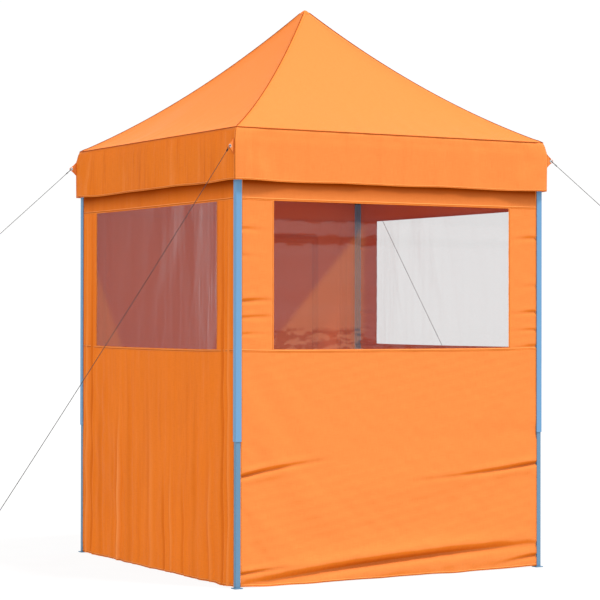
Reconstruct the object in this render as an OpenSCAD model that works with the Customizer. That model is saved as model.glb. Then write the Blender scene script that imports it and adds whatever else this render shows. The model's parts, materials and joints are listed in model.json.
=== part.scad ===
// Pop-up shelter: a scissor frame on four telescoping legs carries a one-piece peaked roof,
// three walls with windows and a back wall with a zipped door. Guy ropes run from the roof corners to pegs.
// +Z is up and the origin is on the ground at the middle of the floor. The front faces -Y.

/* [Frame] */
// Distance between the centres of two neighbouring posts
post_gap = 1900; // [1800:10:2000]
// Height of the upper scissor pivots above the ground
pivot_h = 2300; // [2290:10:2300]
// Slope of the scissor bars when the frame stands open, in degrees
bar_slope = 11.5; // [11:0.5:16]
// Depth of a scissor bar
bar_w = 18; // [14:1:18]
// Thickness of a scissor bar
bar_t = 8; // [6:0.5:8]
// Radius of a pivot pin
pin_r = 3; // [2.5:0.1:3.5]
// Outside of the round mast tube, as a diameter
mast_d = 25; // [20:1:25]

/* [Legs] */
// Outside width of the upper, outer leg tube
tube_w = 32; // [28:1:32]
// Outside width of the lower, inner leg tube
inner_w = 25; // [20:1:25]
// Wall thickness of both leg tubes
tube_wall = 1.5; // [1:0.1:2]
// Height of the outer tube's lower end above the ground
tube_low = 750; // [650:10:850]
// How far the inner tube reaches up into the outer tube
tube_lap = 160; // [120:10:250]
// Width of the square foot plate
foot_w = 48; // [46:1:60]
// Thickness of the foot plate
foot_t = 4; // [3:0.5:6]
// Radius of the peg hole in the foot plate
foot_hole_r = 4; // [2.5:0.5:4]

/* [Roof] */
// Half the width of the roof at its eave seam
eave_half = 970; // [960:1:980]
// Height of the eave seam
eave_h = 2358; // [2345:1:2400]
// Height of the peak
peak_h = 3151; // [3000:10:3300]
// How hollow the roof slopes are: 0 is flat
roof_sag = 0.35; // [0:0.05:0.4]
// Depth of the valance that hangs from the eave
valance_h = 270; // [200:10:300]
// How far the valance's lower edge hangs out beyond the eave
valance_out = 17; // [5:1:25]
// Thickness of the roof cloth
roof_t = 3; // [2:0.5:4]

/* [Walls] */
// Height of the walls' lower edge
wall_low = 8; // [5:1:30]
// Height of the walls' upper edge, behind the valance
wall_high = 2280; // [2200:10:2290]
// Thickness of the wall cloth
wall_t = 2; // [1:0.5:3]
// Width of a window
window_w = 1490; // [1200:10:1600]
// Height of a window's lower edge
window_low = 1224; // [1100:1:1300]
// Height of a window's upper edge
window_high = 1991; // [1900:1:2000]
// Width of the door opening
door_w = 640; // [560:10:700]
// Height of the door opening's upper edge
door_high = 1880; // [1700:10:1950]

/* [Guy ropes] */
// How far the pegs stand beyond the eyelets along X
rope_run_x = 2060; // [1500:10:2200]
// How far the pegs stand beyond the eyelets along Y
rope_run_y = 1240; // [900:10:1500]
// Radius of a guy rope
rope_r = 2; // [1.5:0.5:3]
// Length of a ground peg
peg_len = 180; // [150:5:220]

/* [Hidden] */
$fn = 48;
SIDES = ["front", "right", "back", "left"];
CORNERS = ["front_left", "front_right", "back_right", "back_left"];
// The corner each side's two ends point at, first the end at -X when the side is turned to the front
ENDS = [["left", "right"], ["front", "back"], ["right", "left"], ["back", "front"]];

steel_blue = [0.46, 0.67, 0.88];
cloth_orange = [0.98, 0.59, 0.27];
nylon_grey = [0.25, 0.26, 0.28];
bare_steel = [0.75, 0.75, 0.77];

half = post_gap / 2;
// Every scissor pivot stands this far from the centre of the post, joint or hub that carries it
pivot_out = 34;
bar_len = (half - 2 * pivot_out) / cos(bar_slope);
drop = bar_len * sin(bar_slope);
low_h = pivot_h - drop;
// The two bars of a scissor pair lie side by side, one in each layer
layer_in = 11;
layer_out = 1;
layer_side = 5;
run_gap = 0.1;
open_gap = 0.5;
cheek_t = 3;
cheek_gap = 0.5;
body_half = 18.5;
joint_half = 20;
joint_h = 24;
hub_r = 23;
hub_h = 34;
rivet_h = 2;
rivet_r = 6;
collar_h = 40;
// Slack between a sleeve and the tube that slides in it
slide_gap = 0.5;
fit_gap = 0.2;
tab_out = 62;
// How far a tab turns from the X axis towards its rope, in degrees
tab_turn = 15;
tab_h = 124;
eyelet_h = 2258;
eyelet_out = 41;
eyelet_r = 9;
eyelet_bore_r = 5;
// Where the valance's corner stands at the height of the eyelets
tab_corner = eave_half + valance_out * (eave_h - eyelet_h) / valance_h;
knob_h = tube_low + 15;
knob_r = 7;
shank_r = 3.6;
wall_y = half + 11;
wall_half = half - tube_w / 2 - 4;
door_low = 60;
zip_w = 4;
cord_r = 2.5;
peg_r = 3.5;
peg_lean = 25;
roof_steps = 9;

module on_side(k) rotate([0, 0, 90 * k]) children();

// Puts a shape at the front left post's centre, then turns it to corner k
module on_corner(k) on_side(k) translate([-half, -half, 0]) children();

// Draws its child at the front left corner and mirrors it to the other three
module four_ways() {
    for (x = [0, 1], y = [0, 1]) mirror([x, 0, 0]) mirror([0, y, 0]) children();
}

// A flat steel bar along +X from its first pivot, with rounded ends and three pin holes
module bar(first_r, last_r) {
    rotate([90, 0, 0]) linear_extrude(bar_t, center = true) difference() {
        union() {
            circle(d = bar_w);
            translate([0, -bar_w / 2]) square([bar_len, bar_w]);
            translate([bar_len, 0]) circle(d = bar_w);
        }
        circle(r = first_r);
        translate([bar_len / 2, 0]) circle(r = pin_r + run_gap);
        translate([bar_len, 0]) circle(r = last_r);
    }
}

// The rivet that holds two crossed bars together at their middles, reaching from one bar's layer
// over the other's, which lies on the side that way points to
module middle_rivet(way) {
    reach = bar_t / 2 + fit_gap;
    pitch = layer_in - layer_out;
    translate([bar_len / 2, way * pitch / 2, 0]) rotate([90, 0, 0]) {
        cylinder(r = pin_r, h = pitch + 2 * reach + rivet_h, center = true);
        for (end = [-1, 1])
            translate([0, 0, end * (pitch / 2 + reach + rivet_h / 2)])
                cylinder(r = rivet_r, h = rivet_h, center = true);
    }
}

// A fork at the origin for a bar end, with its pin along Y; its root reaches back along -X
module fork(root) {
    for (end = [-1, 1])
        translate([0, end * (bar_t / 2 + cheek_gap + cheek_t / 2), 0])
            rotate([90, 0, 0]) linear_extrude(cheek_t, center = true) {
                circle(d = bar_w);
                translate([-root, -bar_w / 2]) square([root, bar_w]);
            }
    rotate([90, 0, 0]) cylinder(r = pin_r, h = bar_t + 2 * (cheek_gap + cheek_t), center = true);
}

// Two forks of a corner fitting, one along each wall, in the given layer
module corner_forks(layer) {
    root = pivot_out - body_half + cheek_t;
    translate([pivot_out, layer, 0]) fork(root);
    translate([layer, pivot_out, 0]) rotate([0, 0, 90]) fork(root);
}

// The middle fitting of a side: two forks along the wall and one towards the mast
module side_joint(layer, offset) {
    block_low = layer - bar_t / 2 - cheek_gap - cheek_t;
    root = pivot_out - joint_half + cheek_t;
    translate([-joint_half, -half + block_low, -joint_h / 2])
        cube([2 * joint_half, joint_half - block_low, joint_h]);
    for (end = [-1, 1])
        translate([end * pivot_out, -half + layer, 0]) rotate([0, 0, end > 0 ? 0 : 180]) fork(root);
    translate([offset, -half + pivot_out, 0]) rotate([0, 0, 90]) fork(root);
}

// The four forks around a hub, each beside its own radius
module hub_forks(offset) {
    for (k = [0:3]) on_side(k)
        translate([offset, -pivot_out, 0]) rotate([0, 0, -90]) fork(pivot_out - hub_r + 7);
}

module upper_hub() {
    color(nylon_grey) translate([0, 0, pivot_h]) difference() {
        union() {
            cylinder(r = hub_r, h = hub_h, center = true);
            hub_forks(layer_side);
        }
        cylinder(d = mast_d + 2 * slide_gap, h = hub_h + 2, center = true);
    }
}

module lower_hub() {
    color(nylon_grey) translate([0, 0, low_h]) difference() {
        union() {
            cylinder(r = hub_r, h = hub_h, center = true);
            hub_forks(-layer_side);
        }
        translate([0, 0, -hub_h / 2 + 5]) cylinder(d = mast_d + 2 * fit_gap, h = hub_h);
    }
}

// The peak pole and the domed cap that holds the roof up
module mast() {
    cap_r = 18;
    cap_h = 26;
    foot_z = low_h - hub_h / 2 + 5 + fit_gap;
    top_z = peak_h - 50;
    color(steel_blue) translate([0, 0, foot_z]) difference() {
        cylinder(d = mast_d, h = top_z - foot_z);
        translate([0, 0, -1]) cylinder(d = mast_d - 2 * tube_wall, h = top_z - foot_z + 2);
    }
    color(nylon_grey) translate([0, 0, top_z - cap_h / 2]) rotate_extrude() difference() {
        union() {
            square([cap_r, cap_h]);
            intersection() {
                translate([0, cap_h]) circle(r = cap_r - 1);
                square([cap_r, 2 * cap_h]);
            }
        }
        translate([mast_d / 2 - tube_wall - fit_gap, -1])
            square([tube_wall + 2 * fit_gap, cap_h / 2 + 1 + fit_gap]);
    }
}

// Bar that slopes down from the upper hub to the lower joint in the middle of a side
module hub_bar(k) {
    color(steel_blue) on_side(k) translate([layer_side, -pivot_out, pivot_h]) rotate([0, 0, -90])
        rotate([0, bar_slope, 0]) {
            bar(pin_r + run_gap, pin_r + run_gap);
            middle_rivet(-1);
        }
}

// Bar that slopes up from the lower hub to the upper joint in the middle of a side
module mast_bar(k) {
    hub_hole = pin_r + (k == 0 ? run_gap : open_gap);
    color(steel_blue) on_side(k) translate([-layer_side, -pivot_out, low_h]) rotate([0, 0, -90])
        rotate([0, -bar_slope, 0]) bar(hub_hole, pin_r + run_gap);
}

module upper_joint(k) {
    color(nylon_grey) on_side(k) translate([0, 0, pivot_h]) side_joint(layer_in, -layer_side);
}

module lower_joint(k) {
    color(nylon_grey) on_side(k) translate([0, 0, low_h]) side_joint(layer_out, layer_side);
}

// Bar from the upper side joint down to the slider on a leg; end is 0 or 1 for the side's two ends
module slider_bar(k, end) {
    leg_hole = pin_r + (k % 2 == 0 ? run_gap : open_gap);
    color(steel_blue) on_side(k) mirror([end == 0 ? 1 : 0, 0, 0])
        translate([pivot_out, -half + layer_in, pivot_h]) rotate([0, bar_slope, 0]) {
            bar(pin_r + run_gap, leg_hole);
            middle_rivet(-1);
        }
}

// Bar from the lower side joint up to the bracket on top of a leg
module leg_bar(k, end) {
    leg_hole = pin_r + (k % 2 == 0 ? run_gap : open_gap);
    color(steel_blue) on_side(k) mirror([end == 0 ? 1 : 0, 0, 0])
        translate([pivot_out, -half + layer_out, low_h]) rotate([0, -bar_slope, 0])
            bar(pin_r + open_gap, leg_hole);
}

// Turns a shape inside a corner back so that it faces +X on every leg
module facing_x(k) rotate([0, 0, 90 - 90 * k]) children();

// A hole in the +X wall of a leg tube of the given width
module knob_hole(k, width, height) {
    facing_x(k) translate([0, -width / 2, height]) rotate([90, 0, 0])
        cylinder(r = shank_r + 0.3, h = 4 * tube_wall, center = true);
}

// Outer leg tube with its nylon bracket on top
module leg_tube(k) {
    top = pivot_h + collar_h / 2;
    color(steel_blue) on_corner(k) difference() {
        translate([-tube_w / 2, -tube_w / 2, tube_low]) cube([tube_w, tube_w, top - tube_low]);
        translate([tube_wall - tube_w / 2, tube_wall - tube_w / 2, tube_low - 1])
            cube([tube_w - 2 * tube_wall, tube_w - 2 * tube_wall, top - tube_low + 2]);
        knob_hole(k, tube_w, knob_h);
    }
    color(nylon_grey) on_corner(k) difference() {
        union() {
            translate([-body_half, -body_half, pivot_h - collar_h / 2])
                cube([2 * body_half, 2 * body_half, collar_h + 5]);
            translate([0, 0, pivot_h]) corner_forks(layer_out);
        }
        translate([-tube_w / 2 - fit_gap, -tube_w / 2 - fit_gap, pivot_h - collar_h])
            cube([tube_w + 2 * fit_gap, tube_w + 2 * fit_gap, 3 * collar_h / 2 + fit_gap]);
    }
}

// Sleeve that runs on the outer leg tube and locks with a spring catch when the frame is open
module slider(k) {
    catch_r = 6;
    color(nylon_grey) on_corner(k) translate([0, 0, low_h]) difference() {
        union() {
            translate([-body_half, -body_half, -collar_h / 2])
                cube([2 * body_half, 2 * body_half, collar_h]);
            corner_forks(layer_in);
            translate([0, -body_half, -8]) rotate([90, 0, 0]) cylinder(r = catch_r, h = 3);
        }
        translate([-tube_w / 2 - slide_gap, -tube_w / 2 - slide_gap, -collar_h])
            cube([tube_w + 2 * slide_gap, tube_w + 2 * slide_gap, 2 * collar_h]);
    }
}

// Inner leg tube with a welded foot plate, a peg hole and the row of height holes
module inner_leg(k) {
    top = tube_low + tube_lap;
    hole_pitch = 120;
    hole_count = 4;
    corner_r = 5;
    corner_at = foot_w / 2 - corner_r;
    color(steel_blue) on_corner(k) difference() {
        union() {
            translate([-inner_w / 2, -inner_w / 2, 0]) cube([inner_w, inner_w, top]);
            linear_extrude(foot_t) {
                square([foot_w, foot_w - 2 * corner_r], center = true);
                square([foot_w - 2 * corner_r, foot_w], center = true);
                for (x = [-1, 1], y = [-1, 1]) translate([x * corner_at, y * corner_at]) circle(corner_r);
            }
        }
        translate([tube_wall - inner_w / 2, tube_wall - inner_w / 2, foot_t])
            cube([inner_w - 2 * tube_wall, inner_w - 2 * tube_wall, top]);
        translate([-corner_at + 1, -corner_at + 1, -1]) cylinder(r = foot_hole_r, h = foot_t + 2);
        for (i = [0:hole_count - 1]) knob_hole(k, inner_w, knob_h - i * hole_pitch);
    }
}

// Pull knob that locks the inner leg at its height
module leg_knob(k) {
    head_h = 5;
    tip = inner_w / 2 + 0.3;
    seat = tube_w / 2 + 0.3;
    color(nylon_grey) on_corner(k) facing_x(k) translate([0, 0, knob_h]) rotate([90, 0, 0]) {
        translate([0, 0, tip]) cylinder(r = shank_r, h = seat - tip + 1);
        translate([0, 0, seat]) cylinder(r = knob_r, h = head_h);
    }
}

// Half width and height of the roof cloth, from the eave at t = 0 to the peak at t = 1
function roof_half(t) = eave_half * (1 - t);
function roof_height(t) = eave_h + (peak_h - eave_h) * (t - roof_sag * t * (1 - t));

// A solid built from square levels, each given as [half width, height]
module square_levels(levels) {
    count = len(levels);
    corners = [[-1, -1], [1, -1], [1, 1], [-1, 1]];
    points = [for (l = levels, c = corners) [c[0] * l[0], c[1] * l[0], l[1]]];
    sides = [for (i = [0:count - 2], c = [0:3])
        [4 * i + c, 4 * i + 4 + c, 4 * i + 4 + (c + 1) % 4, 4 * i + (c + 1) % 4]];
    top = 4 * (count - 1);
    polyhedron(points, concat([[0, 1, 2, 3]], sides, [[top + 3, top + 2, top + 1, top]]));
}

// The roof's outer shape, or the hollow under it when inset is the cloth's thickness
module roof_shape(inset) {
    tip = 5;
    valance_low = eave_h - valance_h;
    below = inset > 0 ? 1 : 0;
    slopes = [for (i = [0:roof_steps]) let (t = i / roof_steps)
        [max(roof_half(t) - inset, tip), roof_height(t) - inset]];
    square_levels(concat([[eave_half + valance_out - inset, valance_low - below]], slopes));
}

// Places a shape, drawn along +X from the valance's corner, along the front left corner's tab
module on_tab() translate([-tab_corner, -tab_corner, eyelet_h]) rotate([90, 0, 180 + tab_turn]) children();

// A triangular pull tab on each roof corner, pierced for an eyelet
module corner_tab() {
    root_low = -4;
    root_high = -16;
    tip_half = 10;
    on_tab() linear_extrude(2, center = true) difference() {
        polygon([[root_low, -tab_h / 2], [6, -tab_h / 2], [tab_out, -tip_half],
                 [tab_out, tip_half], [root_high, tab_h / 2]]);
        translate([eyelet_out, 0]) circle(r = eyelet_r + fit_gap);
    }
}

// The one-piece roof: four hollow slopes, a valance all round and four corner tabs
module canopy() {
    color(cloth_orange) difference() {
        union() {
            roof_shape(0);
            four_ways() corner_tab();
        }
        roof_shape(roof_t);
    }
}

module eyelets() {
    color(bare_steel) four_ways() on_tab() translate([eyelet_out, 0, 0]) difference() {
        cylinder(r = eyelet_r, h = 4, center = true);
        cylinder(r = eyelet_bore_r, h = 6, center = true);
    }
}

// A flat upright panel in the front wall's plane, from one lower corner to the opposite upper one
module wall_panel(x1, z1, x2, z2) {
    translate([x1, -wall_y - wall_t / 2, z1]) cube([x2 - x1, wall_t, z2 - z1]);
}

module window_walls() {
    color(cloth_orange) for (k = [0, 1, 3]) on_side(k) difference() {
        wall_panel(-wall_half, wall_low, wall_half, wall_high);
        translate([-window_w / 2, -wall_y - wall_t, window_low])
            cube([window_w, 2 * wall_t, window_high - window_low]);
    }
}

module window_panes() {
    edge = 1;
    color([0.85, 0.72, 0.68, 0.4]) for (k = [0, 1, 3]) on_side(k)
        wall_panel(-window_w / 2 + edge, window_low + edge, window_w / 2 - edge, window_high - edge);
}

// The back wall, with the door opening in one half and a zip beside it
module door_wall() {
    color(cloth_orange) {
        difference() {
            translate([-wall_half, wall_y - wall_t / 2, wall_low])
                cube([2 * wall_half, wall_t, wall_high - wall_low]);
            translate([0, wall_y - wall_t, door_low]) cube([door_w, 2 * wall_t, door_high - door_low]);
        }
        translate([door_w + zip_w, wall_y + wall_t / 2 - 0.5, door_low])
            cube([zip_w, 2.5, door_high - door_low]);
    }
}

// The door leaf hangs on a sewn cord at the middle of the back wall
module door_flap() {
    edge = 5;
    color(cloth_orange) {
        translate([cord_r + 1.5, wall_y, door_low + edge])
            cylinder(r = cord_r, h = door_high - door_low - 2 * edge);
        translate([cord_r + 1.5, wall_y - wall_t / 2, door_low + edge])
            cube([door_w - 2 * edge - cord_r, wall_t, door_high - door_low - 2 * edge]);
    }
}

// Slider and tag that run up the zip beside the door
module zipper_pull() {
    slack = 0.7;
    body_w = zip_w + 5;
    body_h = 14;
    out = wall_y + wall_t / 2 + slack;
    color(bare_steel) translate([door_w + 1.5 * zip_w, 0, door_low + 12]) {
        difference() {
            translate([-body_w / 2, out, 0]) cube([body_w, 4.5, body_h]);
            translate([-zip_w / 2 - slack, out - 1, -1]) cube([zip_w + 2 * slack, 3.5, body_h + 2]);
        }
        translate([-2.5, out + 4, -24]) cube([5, 2, 34]);
    }
}

eyelet_x = tab_corner + eyelet_out * cos(tab_turn);
eyelet_y = tab_corner + eyelet_out * sin(tab_turn);
peg_x = eyelet_x + rope_run_x;
peg_y = eyelet_y + rope_run_y;
peg_top = peg_len * cos(peg_lean);

module guy_ropes() {
    clear = 22;
    hook_z = peg_top - 25;
    run = [-rope_run_x, -rope_run_y, hook_z - eyelet_h];
    level = norm([run[0], run[1]]);
    color([0.86, 0.86, 0.84]) four_ways() translate([-eyelet_x, -eyelet_y, eyelet_h])
        rotate([0, 0, atan2(run[1], run[0])]) rotate([0, 90 - atan2(run[2], level), 0])
            translate([0, 0, clear]) cylinder(r = rope_r, h = norm(run) - 2 * clear);
}

// Pegs lean away from the shelter with their points at ground level
module ground_pegs() {
    turn = atan2(-rope_run_y, -rope_run_x);
    color(bare_steel) four_ways() translate([-peg_x, -peg_y, 0]) rotate([0, 0, turn])
        translate([-peg_top * tan(peg_lean) / 2, 0, peg_r * sin(peg_lean)]) rotate([0, peg_lean, 0]) {
            cylinder(r = peg_r, h = peg_len);
            translate([0, 0, peg_len - 8]) rotate([0, 90, 0]) cylinder(r = peg_r, h = 44, center = true);
        }
}

upper_hub();
lower_hub();
mast();
canopy();
window_walls();
window_panes();
door_wall();
door_flap();
zipper_pull();
guy_ropes();
ground_pegs();
eyelets();
for (k = [0:3]) {
    hub_bar(k);
    mast_bar(k);
    upper_joint(k);
    lower_joint(k);
    leg_tube(k);
    slider(k);
    inner_leg(k);
    leg_knob(k);
    for (e = [0, 1]) {
        slider_bar(k, e);
        leg_bar(k, e);
    }
}
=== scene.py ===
import json
import math

import bpy
import numpy as np
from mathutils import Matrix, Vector

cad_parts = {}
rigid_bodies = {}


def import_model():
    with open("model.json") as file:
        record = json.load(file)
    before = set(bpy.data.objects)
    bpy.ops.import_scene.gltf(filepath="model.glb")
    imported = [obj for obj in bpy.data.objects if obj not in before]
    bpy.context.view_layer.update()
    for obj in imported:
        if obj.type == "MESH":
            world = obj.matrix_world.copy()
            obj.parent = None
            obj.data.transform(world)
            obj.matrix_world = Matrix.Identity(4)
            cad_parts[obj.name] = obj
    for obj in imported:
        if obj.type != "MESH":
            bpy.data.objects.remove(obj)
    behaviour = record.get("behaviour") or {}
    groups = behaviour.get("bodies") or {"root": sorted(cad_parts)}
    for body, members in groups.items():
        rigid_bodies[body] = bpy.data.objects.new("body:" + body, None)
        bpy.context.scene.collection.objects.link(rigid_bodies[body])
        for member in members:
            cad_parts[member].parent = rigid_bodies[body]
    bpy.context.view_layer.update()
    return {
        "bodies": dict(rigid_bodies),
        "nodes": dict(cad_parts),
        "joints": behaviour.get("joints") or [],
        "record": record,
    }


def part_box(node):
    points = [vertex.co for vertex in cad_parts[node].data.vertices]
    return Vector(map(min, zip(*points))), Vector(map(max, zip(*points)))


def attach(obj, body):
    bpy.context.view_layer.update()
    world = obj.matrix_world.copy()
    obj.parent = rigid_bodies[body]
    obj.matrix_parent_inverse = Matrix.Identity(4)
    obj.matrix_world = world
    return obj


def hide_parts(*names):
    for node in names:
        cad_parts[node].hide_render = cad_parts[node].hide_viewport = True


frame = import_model()

# ---------------------------------------------------------------- measures, all taken from the frame

SIDES = ("front", "right", "back", "left")
CORNERS = ("front_left", "front_right", "back_right", "back_left")
JOINTS = {joint["name"]: joint for joint in frame["joints"]}


def box(node):
    return [np.array(corner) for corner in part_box(node)]


def vertices(node):
    return np.array([v.co for v in frame["nodes"][node].data.vertices], float)


leg_box = box("inner_leg_front_right")
POST = float((leg_box[0][0] + leg_box[1][0]) / 2)
tube = vertices("leg_tube_front_right")
TUBE_LOW = float(tube[:, 2].min())
TUBE_HALF = float(tube[tube[:, 2] < TUBE_LOW + 0.001][:, 0].max()) - POST
PIVOT_H = JOINTS["frame_fold"]["pos_m"][2]

door_box = box("door_flap")
wall_box = box("door_wall")
WALL_Y = float((door_box[0][1] + door_box[1][1]) / 2)
WALL_HALF = float(wall_box[1][0])
WALL_LOW, WALL_HIGH = float(wall_box[0][2]), float(wall_box[1][2])
panes = vertices("window_panes")
front_pane = panes[panes[:, 1] < -WALL_Y + 0.01]
WINDOW_HALF = float(front_pane[:, 0].max())
WINDOW_LOW, WINDOW_HIGH = float(panes[:, 2].min()), float(panes[:, 2].max())

canopy_box = box("canopy")
VALANCE_LOW, PEAK = float(canopy_box[0][2]), float(canopy_box[1][2])
roof = vertices("canopy")
VALANCE_HALF = float(roof[roof[:, 2] < VALANCE_LOW + 0.001][:, 0].max())
VALANCE_DEPTH = 0.27
EAVE = VALANCE_LOW + VALANCE_DEPTH
EAVE_HALF = float(roof[abs(roof[:, 2] - EAVE) < 0.002][:, 0].max())
ROOF_SAG = 0.35

eyelet_points = vertices("eyelets")
eyelet_corner = eyelet_points[(eyelet_points[:, 0] > 0) & (eyelet_points[:, 1] > 0)]
EYELET = (eyelet_corner.min(0) + eyelet_corner.max(0)) / 2
peg_points = vertices("ground_pegs")
peg_corner = peg_points[(peg_points[:, 0] > 0) & (peg_points[:, 1] > 0)]
PEG_LOW, PEG_HIGH = peg_corner.min(0), peg_corner.max(0)


def fold_travel():
    """How far a post moves in and the mast moves down as the frame folds from rest to its limit."""
    fold = JOINTS["frame_fold"]
    first, last = np.array(fold["pos_m"]), np.array(JOINTS["lower_joint_front_turn"]["pos_m"])
    run, rise = np.hypot(*(last - first)[:2]), first[2] - last[2]
    length = math.hypot(run, rise)
    closed = math.atan2(rise, run) + math.radians(fold["range_deg"][1])
    return float(run - length * math.cos(closed)), float(length * math.sin(closed) - rise)


POST_TRAVEL, MAST_TRAVEL = fold_travel()
WALL_SQUEEZE = (POST - POST_TRAVEL - TUBE_HALF - 0.006) / WALL_HALF
ROOF_FOLDED = POST - POST_TRAVEL + 0.052


# ---------------------------------------------------------------- materials

def shader(name, build):
    """A node material. build gets a function that adds a node and returns its first output."""
    material = bpy.data.materials.new(name)
    material.use_nodes = True
    tree = material.node_tree
    tree.nodes.clear()

    def add(kind, settings=None, output=0, **inputs):
        node = tree.nodes.new("ShaderNode" + kind)
        for key, value in (settings or {}).items():
            setattr(node, key, value)
        for key, value in inputs.items():
            index = int(key[2:]) if key.startswith("in") and key[2:].isdigit() else key.replace("_", " ")
            if isinstance(value, bpy.types.NodeSocket):
                tree.links.new(value, node.inputs[index])
            else:
                node.inputs[index].default_value = value
        return node.outputs[output]

    tree.links.new(build(add), tree.nodes.new("ShaderNodeOutputMaterial").inputs[0])
    return material


def mix(add, share, first, second):
    return add("Mix", {"data_type": "RGBA"}, output=2, in0=share, in6=first, in7=second)


def maths(add, operation, *values):
    return add("Math", {"operation": operation}, **{f"in{i}": v for i, v in enumerate(values)})


def stretched_noise(add, source, scale, detail=3.0, roughness=0.5):
    mapped = add("Mapping", Vector=source, Scale=scale)
    return add("TexNoise", Vector=mapped, Scale=1.0, Detail=detail, Roughness=roughness)


def ramp(add, value, low, high):
    return add("MapRange", {"interpolation_type": "SMOOTHSTEP"}, in0=value, in1=low, in2=high)


CLOTH = (0.84, 0.200, 0.014, 1)
CLOTH_LIGHT = (0.88, 0.214, 0.017, 1)
# Painted sheen: a paler, whiter orange for faces turned to the sun
CLOTH_PAINTED_SHEEN = (0.85, 0.252, 0.058, 1)
# Painted shade: a darker, redder orange for the inside faces, for the dim inside of the shelter
CLOTH_INSIDE_SHADE = (0.62, 0.072, 0.014, 1)
CLOTH_DEEP = (0.52, 0.075, 0.006, 1)
CLOTH_SHADE = (0.31, 0.044, 0.001, 1)
# Painted highlight: a bright orange for pleat crowns, fold ridges and the upper edges of seams
CLOTH_PAINTED_HIGHLIGHT = (1.0, 0.36, 0.11, 1)
CLOTH_DIRT = (0.33, 0.12, 0.035, 1)
SUN_WAY = (0.28, -0.38, 0.88)


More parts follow.
